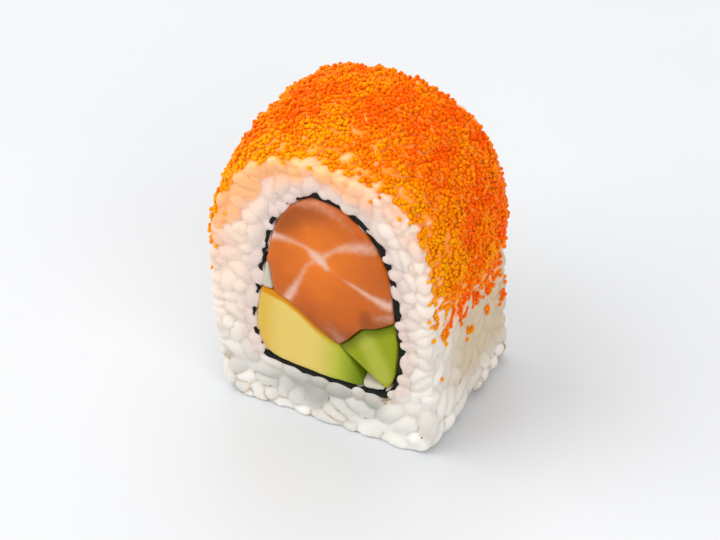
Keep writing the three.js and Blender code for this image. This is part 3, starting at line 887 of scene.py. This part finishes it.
# Painted shade over the top left and the notch.
fish_tone = laid_over(fish, fish_tone, FISH_BROWN, marked(fish, "fish_shade_spots"), 0.1, 1.2)
fat_and_sheen_edge = times_plus(fish, mottle(fish, size=1.0, detail=3.0), FAT_AND_SHEEN_WAVER, marked(fish, "fat_and_sheen"))
fish_tone = laid_over(fish, fish_tone, FISH_FAT_AND_SHEEN, fat_and_sheen_edge, 0.25, 1.6)
feed(fish, fish_tone, fish_shader.inputs["Base Color"])
lit_through(fish, fish_shader, share=0.4, colours=(1.0, 0.35, 0.15), reach=1.0)
feed(fish, 0.16, fish_shader.inputs["Specular IOR Level"])
rough_skin(fish, fish_shader, mottle(fish, size=0.6, detail=3.0), depth=0.06)
salmon.data.materials.append(fish)
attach(salmon, "root")
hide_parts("salmon")


# The avocado: a ripe slice laid under the salmon, buttery yellow on the stone's side
# and green towards the skin, at its thin tip, with a golden edge along the salmon.
AVOCADO_TOP = [(-9.5, 23.6), (-5.5, 22.7), (-2.8, 21.2), (0.4, 18.7), (3.7, 16.8)]
avocado = filling("avocado_slice", ["avocado"])
avocado_points = points_of(avocado)
avocado_low, avocado_high = avocado_points.min(axis=0), avocado_points.max(axis=0)
mark(avocado, "under_top", from_route(avocado_points, AVOCADO_TOP)[0])
mark(avocado, "to_tip", (avocado_points[:, 0] - avocado_low[0]) / (avocado_high[0] - avocado_low[0]))

AVOCADO_YELLOW = srgb(225, 197, 106)
AVOCADO_GOLD = srgb(217, 178, 72)
AVOCADO_EDGE = srgb(208, 134, 4)
AVOCADO_GREEN = srgb(172, 180, 50)
AVOCADO_SKIN = srgb(102, 124, 0)
flesh, flesh_shader = new_material("avocado_flesh", roughness=0.45)
to_tip = marked(flesh, "to_tip")
flesh_tone = laid_over(flesh, AVOCADO_GOLD, AVOCADO_YELLOW, to_tip, 0.04, 0.26)
flesh_tone = laid_over(flesh, flesh_tone, AVOCADO_EDGE, marked(flesh, "under_top"), 1.15, 0.35)
flesh_tone = laid_over(flesh, flesh_tone, AVOCADO_GREEN, to_tip, 0.5, 0.86)
flesh_tone = laid_over(flesh, flesh_tone, AVOCADO_SKIN, to_tip, 0.74, 1.0)
feed(flesh, flesh_tone, flesh_shader.inputs["Base Color"])
lit_through(flesh, flesh_shader, share=0.3, colours=(1.0, 0.8, 0.3), reach=0.8)
feed(flesh, 0.14, flesh_shader.inputs["Specular IOR Level"])
rough_skin(flesh, flesh_shader, mottle(flesh, size=0.9, detail=3.0), depth=0.08)
avocado.data.materials.append(flesh)
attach(avocado, "root")
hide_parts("avocado")


# The cucumber: a crisp strip cut lengthwise from the fruit and laid beside the avocado.
# It is pale and wet in the middle and greener at its edges, and darkest where it meets the salmon, which is
# painted shade.
CUCUMBER_HEART = [(8.8, 19.6), (10.4, 16.7), (11.6, 13.6)]
CUCUMBER_SHADED_TOP = [(3.7, 16.8), (5.6, 18.6), (7.9, 21.7), (10.4, 22.7), (13, 24.6)]
cucumber = filling("cucumber_strip", ["cucumber"])
cucumber_points = points_of(cucumber)
mark(cucumber, "from_heart", from_route(cucumber_points, CUCUMBER_HEART)[0])
mark(cucumber, "shade_under_salmon", from_route(cucumber_points, CUCUMBER_SHADED_TOP)[0])

CUCUMBER_PALE = srgb(172, 176, 60)
CUCUMBER_GREEN = srgb(146, 156, 14)
CUCUMBER_DARK = srgb(92, 104, 0)
crisp, crisp_shader = new_material("cucumber_flesh", roughness=0.35)
from_heart = marked(crisp, "from_heart")
crisp_tone = laid_over(crisp, CUCUMBER_PALE, CUCUMBER_GREEN, from_heart, 0.6, 2.8)
crisp_tone = laid_over(crisp, crisp_tone, CUCUMBER_DARK, from_heart, 5.0, 9.0)
# Painted shade along the edge that meets the salmon.
crisp_tone = laid_over(crisp, crisp_tone, CUCUMBER_DARK, marked(crisp, "shade_under_salmon"), 2.4, -0.2)
feed(crisp, crisp_tone, crisp_shader.inputs["Base Color"])
lit_through(crisp, crisp_shader, share=0.3, colours=(0.8, 1.0, 0.3), reach=0.8)
feed(crisp, 0.14, crisp_shader.inputs["Specular IOR Level"])
rough_skin(crisp, crisp_shader, mottle(crisp, size=0.8, detail=3.0), depth=0.08)
cucumber.data.materials.append(crisp)
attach(cucumber, "root")
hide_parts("cucumber")


# The cream cheese: soft and white, squeezed into the gaps that the other fillings leave.
# There is a sliver beside the salmon on the left and a small piece at the bottom,
# and the top of the bottom piece lies back from the cut.
SUNK_UP = ([10.8, 12.0], [0, 0.4])
cheese = filling("cream_cheese", ["cream_cheese_side", "cream_cheese_base"])
cheese_points = points_of(cheese)
at_bottom = cheese_points[:, 0] > 0
cheese_points[:, 1] *= 1 - np.interp(cheese_points[:, 2], *SUNK_UP) * at_bottom
move_points(cheese, cheese_points)

CHEESE_PALE = srgb(204, 200, 182)
CHEESE_DULL = srgb(190, 184, 164)
curd, curd_shader = new_material("soft_cheese", roughness=0.5)
curd_tone = mix(curd, mottle(curd, size=1.5), CHEESE_PALE, CHEESE_DULL)
feed(curd, curd_tone, curd_shader.inputs["Base Color"])
lit_through(curd, curd_shader, share=0.3, colours=(1.0, 0.2, 0.1), reach=0.8)
rough_skin(curd, curd_shader, mottle(curd, size=0.5, detail=3.0), depth=0.1)
cheese.data.materials.append(curd)
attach(cheese, "root")
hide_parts("cream_cheese_side", "cream_cheese_base")


# The roe: tiny fish eggs that cling to the sticky rice where the finished roll was dipped in them.
# They lie close over the crown and thin out in drips and strays down both sides,
# and their juice tints the rice next to them.
EGG_SIZES = (0.68, 0.94)
EGG_SIDES = 7
EGG_SLOPES = (38, 82)
EGG_FOOT = -0.8
EGG_SPACING = 0.66
TRIANGLE_HEIGHT = 0.866
EGG_ROW_PITCH = EGG_SPACING * TRIANGLE_HEIGHT
EGG_JITTER = 0.17
EGG_ENDS = 4
EGG_DEPTHS = (-13.6, 14.2)
EGG_DROP = {"from": 4, "reach": 9}
EGG_LIFT = 0.1
EGG_STANDS = (-0.08, 0.12)
STACKED = {"inside": 1.0, "share": 0.15, "height": 0.35}
HEAPED = {"inside": 2.0, "rate": 0.4, "steep": 1.8, "height": 0.3}
PATCHES = {"wide": (0.2, 0.75, 3), "fine": (0.6, 0.6, 8), "bald": (0.15, 0.8, 30), "clump": (0.5, 0.8, 15)}
EDGE_WAVER = {"wide": 1.8, "fine": 1.0}
THINS_OVER = ([28, 42], [1.3, 0.3])
HOLLOW_FILLS = 9
SEAM_FILLS = {"past": 0.3, "least": 1, "by_spread": 2}
LOW_RIGHT_THINNER = ([-13, -10, -6, -2], [0, 2.4, 2.4, 0])
LOW_RIGHT_THINNER_UP = ([26, 31], [1, 0])
BALD = {"over": 0.36, "share": 0.4}
BALD_UP = ([24, 44], [1.0, 0.7])
CLUMPS = {"reach": 9, "over": 0.55, "chance": 0.5, "elsewhere": 0.008}
STRAYS = [
    (-8.1, 22.4), (-8, 21.1), (-7.9, 19.6), (-9.3, 13.2), (-3.2, 22.2), (-1.8, 19.7), (0.5, 15.5),
    (3.1, 20), (6.9, 14.6), (7.4, 18.8), (10.6, 19.2), (11.1, 14.7), (12.8, 16.4),
]
STRAY_REACH = 0.82
STRAY_CHANCE = 0.8
# The eggs are lighter along the front rim and at its right corner, partly their own colour and partly
# painted light.
TONE_DEEP = ([-14, -9, -2, 14], [0.8, 0.6, 0.32, 0.3])
TONE_ACROSS = ([-16, 2, 16, 21], [0.06, 0.0, -0.08, 0.14])
LIT_CORNER_ACROSS = ([8, 15], [0, 0.15])
LIT_CORNER_DEEP = ([-9, -5], [1, 0])
TONE_CLUMPS = [(0.4, 0.16), (0.3, 0.4)]
TONE_SPREAD = 0.09


def egg_shape():
    """A round egg, with the half that shows rounder than the half that is stuck in the rice."""
    points = [(0, 0, 1)]
    for slope in np.radians(EGG_SLOPES):
        wide = math.sin(slope)
        for turn in np.arange(EGG_SIDES) * 2 * np.pi / EGG_SIDES:
            points.append((wide * math.cos(turn), wide * math.sin(turn), math.cos(slope)))
    points.append((0, 0, EGG_FOOT))
    faces = []
    for number in range(EGG_SIDES):
        after = (number + 1) % EGG_SIDES
        upper, upper_after = 1 + number, 1 + after
        lower, lower_after = upper + EGG_SIDES, upper_after + EGG_SIDES
        faces.append((0, upper, upper_after))
        faces.append((upper, lower, lower_after))
        faces.append((upper, lower_after, upper_after))
        faces.append((len(points) - 1, lower_after, lower))
    return np.array(points), np.array(faces)


def patch(name, length, deep):
    """Smooth noise over the outside of the roll, in patches of a named form."""
    along, across, number = PATCHES[name]
    return noise.noise(Vector((along * length, across * deep, number)))


def egg_margin(spot, length, deep, corner):
    """How far inside the ragged edge of the roe a place is, further in the seams and hollows of the rice."""
    margin = float(roe_margin(spot[0] - shift, deep, spot[1]))
    for name, height in EDGE_WAVER.items():
        margin += height * patch(name, length, deep)
    seam_fills = SEAM_FILLS["least"] + SEAM_FILLS["by_spread"] * np.interp(spot[1], *THINS_OVER)
    margin += HOLLOW_FILLS * hollow[corner] + seam_fills * (seam[corner] - SEAM_FILLS["past"])
    if spot[0] > 0:
        margin -= np.interp(deep, *LOW_RIGHT_THINNER) * np.interp(spot[1], *LOW_RIGHT_THINNER_UP)
    return margin


def egg_chance(margin, spot, length, deep):
    """How likely an egg sticks at a place, with bald patches, and with clumps and strays past the edge."""
    chance = 1 / (1 + math.exp(-margin / np.interp(spot[1], *THINS_OVER)))
    if patch("bald", length, deep) * np.interp(spot[1], *BALD_UP) > BALD["over"]:
        chance *= BALD["share"]
    if -CLUMPS["reach"] < margin < 0:
        in_clump = patch("clump", length, deep) > CLUMPS["over"]
        chance += CLUMPS["chance"] if in_clump else CLUMPS["elsewhere"]
    stray_gap = min(math.hypot(deep - stray[0], spot[1] - stray[1]) for stray in STRAYS)
    if spot[0] > 0 and stray_gap < STRAY_REACH:
        chance += STRAY_CHANCE
    return chance


def egg_tone(place):
    """How light an egg is, most of all along the front rim and its right corner, which is partly painted
    light, with clumps of lighter and deeper ones.
    """
    tone = np.interp(place.y, *TONE_DEEP) + np.interp(place.x, *TONE_ACROSS)
    tone += np.interp(place.x, *LIT_CORNER_ACROSS) * np.interp(place.y, *LIT_CORNER_DEEP)
    for height, rate in TONE_CLUMPS:
        tone += height * noise.noise(place * rate)
    return tone


rice_skin = BVHTree.FromPolygons(points_of(rice).tolist(), [tuple(f.vertices) for f in rice.data.polygons])
egg_axes = []
egg_places = []
egg_tones = []
for row, length in enumerate(np.arange(EGG_ENDS, outside.whole - EGG_ENDS, EGG_ROW_PITCH)):
    for column in np.arange(*EGG_DEPTHS, EGG_SPACING) + (row % 2) * EGG_SPACING / 2:
        length_here = length + draw.normal(0, EGG_JITTER)
        deep_here = column + draw.normal(0, EGG_JITTER)
        spot = outside.at(length_here)
        step = outside.along(length_here)
        out = Vector((-step[1], 0, step[0]))
        start = Vector((spot[0], deep_here, spot[1])) + out * EGG_DROP["from"]
        hit, _, face, _ = rice_skin.ray_cast(start, -out, EGG_DROP["reach"])
        if hit is None:
            continue
        corner = rice.data.polygons[face].vertices[0]
        margin = egg_margin(spot, length_here, deep_here, corner)
        if draw.uniform() > egg_chance(margin, spot, length_here, deep_here):
            continue
        half = draw.uniform(*EGG_SIZES) / 2
        on_others = margin > STACKED["inside"] and draw.uniform() < STACKED["share"]
        lift = half * EGG_LIFT + (STACKED["height"] if on_others else 0.0)
        heap = np.clip(HEAPED["steep"] * noise.noise(hit * HEAPED["rate"]), 0, 1)
        lift += HEAPED["height"] * heap * np.clip(margin / HEAPED["inside"], 0, 1)
        place = hit + out * float(lift + draw.uniform(*EGG_STANDS))
        spin = draw.uniform(0, 2 * np.pi)
        sideways = math.cos(spin) * np.array([step[0], 0, step[1]]) + math.sin(spin) * INTO_ROLL
        egg_axes.append(np.stack([sideways, np.cross(out, sideways), out]) * half)
        egg_places.append(tuple(place))
        egg_tones.append(egg_tone(place) + draw.normal(0, TONE_SPREAD))

egg_points, egg_faces = egg_shape()
roe = new_piece("roe_eggs", *joined(egg_points, egg_faces, np.array(egg_axes), np.array(egg_places)))
mark(roe, "tone", np.repeat(egg_tones, len(egg_points)))

# How the juice tints the rice: more close to many eggs, and more on the left than on the right.
EGGS_NEARBY = 10
CROWDED = 1.2
TINT_REACH = ([24, 45], [1.4, 4.6])
TINT_ACROSS = ([-16, 4, 14], [1.35, 1.1, 0.4])
TINT_GRAINS = ([0, 1], [0.65, 1.35])
TINT_BY_GRAIN = 0.7
JUICE_REACH = ([0.65, 1.15], [1, 0])
JUICE_CROWD = ([1.4, 2.2], [1, 0.15])
near_eggs = tree_of(egg_places)
egg_gaps = np.array([
    [found[2] for found in near_eggs.find_n(point, EGGS_NEARBY)] for point in points_of(rice)
])
crowd = np.exp(-(np.maximum(0, egg_gaps[:, -1] - CROWDED) / np.interp(up, *TINT_REACH)) ** 2)
grain_crowd = np.bincount(owners, crowd) / np.maximum(1, np.bincount(owners))
dipped = np.interp(across, *TINT_ACROSS) * np.interp(grain_tones[owners], *TINT_GRAINS)
dipped *= (1 - TINT_BY_GRAIN) * crowd + TINT_BY_GRAIN * grain_crowd[owners]
mark(rice, "roe_tint", evened(rice, dipped, 1))
mark(rice, "juice", np.interp(egg_gaps[:, 0], *JUICE_REACH) * np.interp(egg_gaps[:, -1], *JUICE_CROWD))

ROE_LIGHT = srgb(255, 162, 0)
ROE_DEEP = srgb(255, 92, 0)
ROE_GLINT = srgb(255, 214, 120)
spawn, spawn_shader = new_material("fish_roe", roughness=0.3)
spawn_tone = laid_over(spawn, ROE_DEEP, ROE_LIGHT, marked(spawn, "tone"), 0.0, 1.0)
feed(spawn, spawn_tone, spawn_shader.inputs["Base Color"])
lit_through(spawn, spawn_shader, share=0.65, colours=(1.0, 0.8, 0.6), reach=0.32)
feed(spawn, 0.1, spawn_shader.inputs["Specular IOR Level"])
feed(spawn, ROE_GLINT, spawn_shader.inputs["Specular Tint"])
rough_skin(spawn, spawn_shader, mottle(spawn, size=0.3), depth=0.03)
roe.data.materials.append(spawn)
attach(roe, "root")
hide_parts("roe")
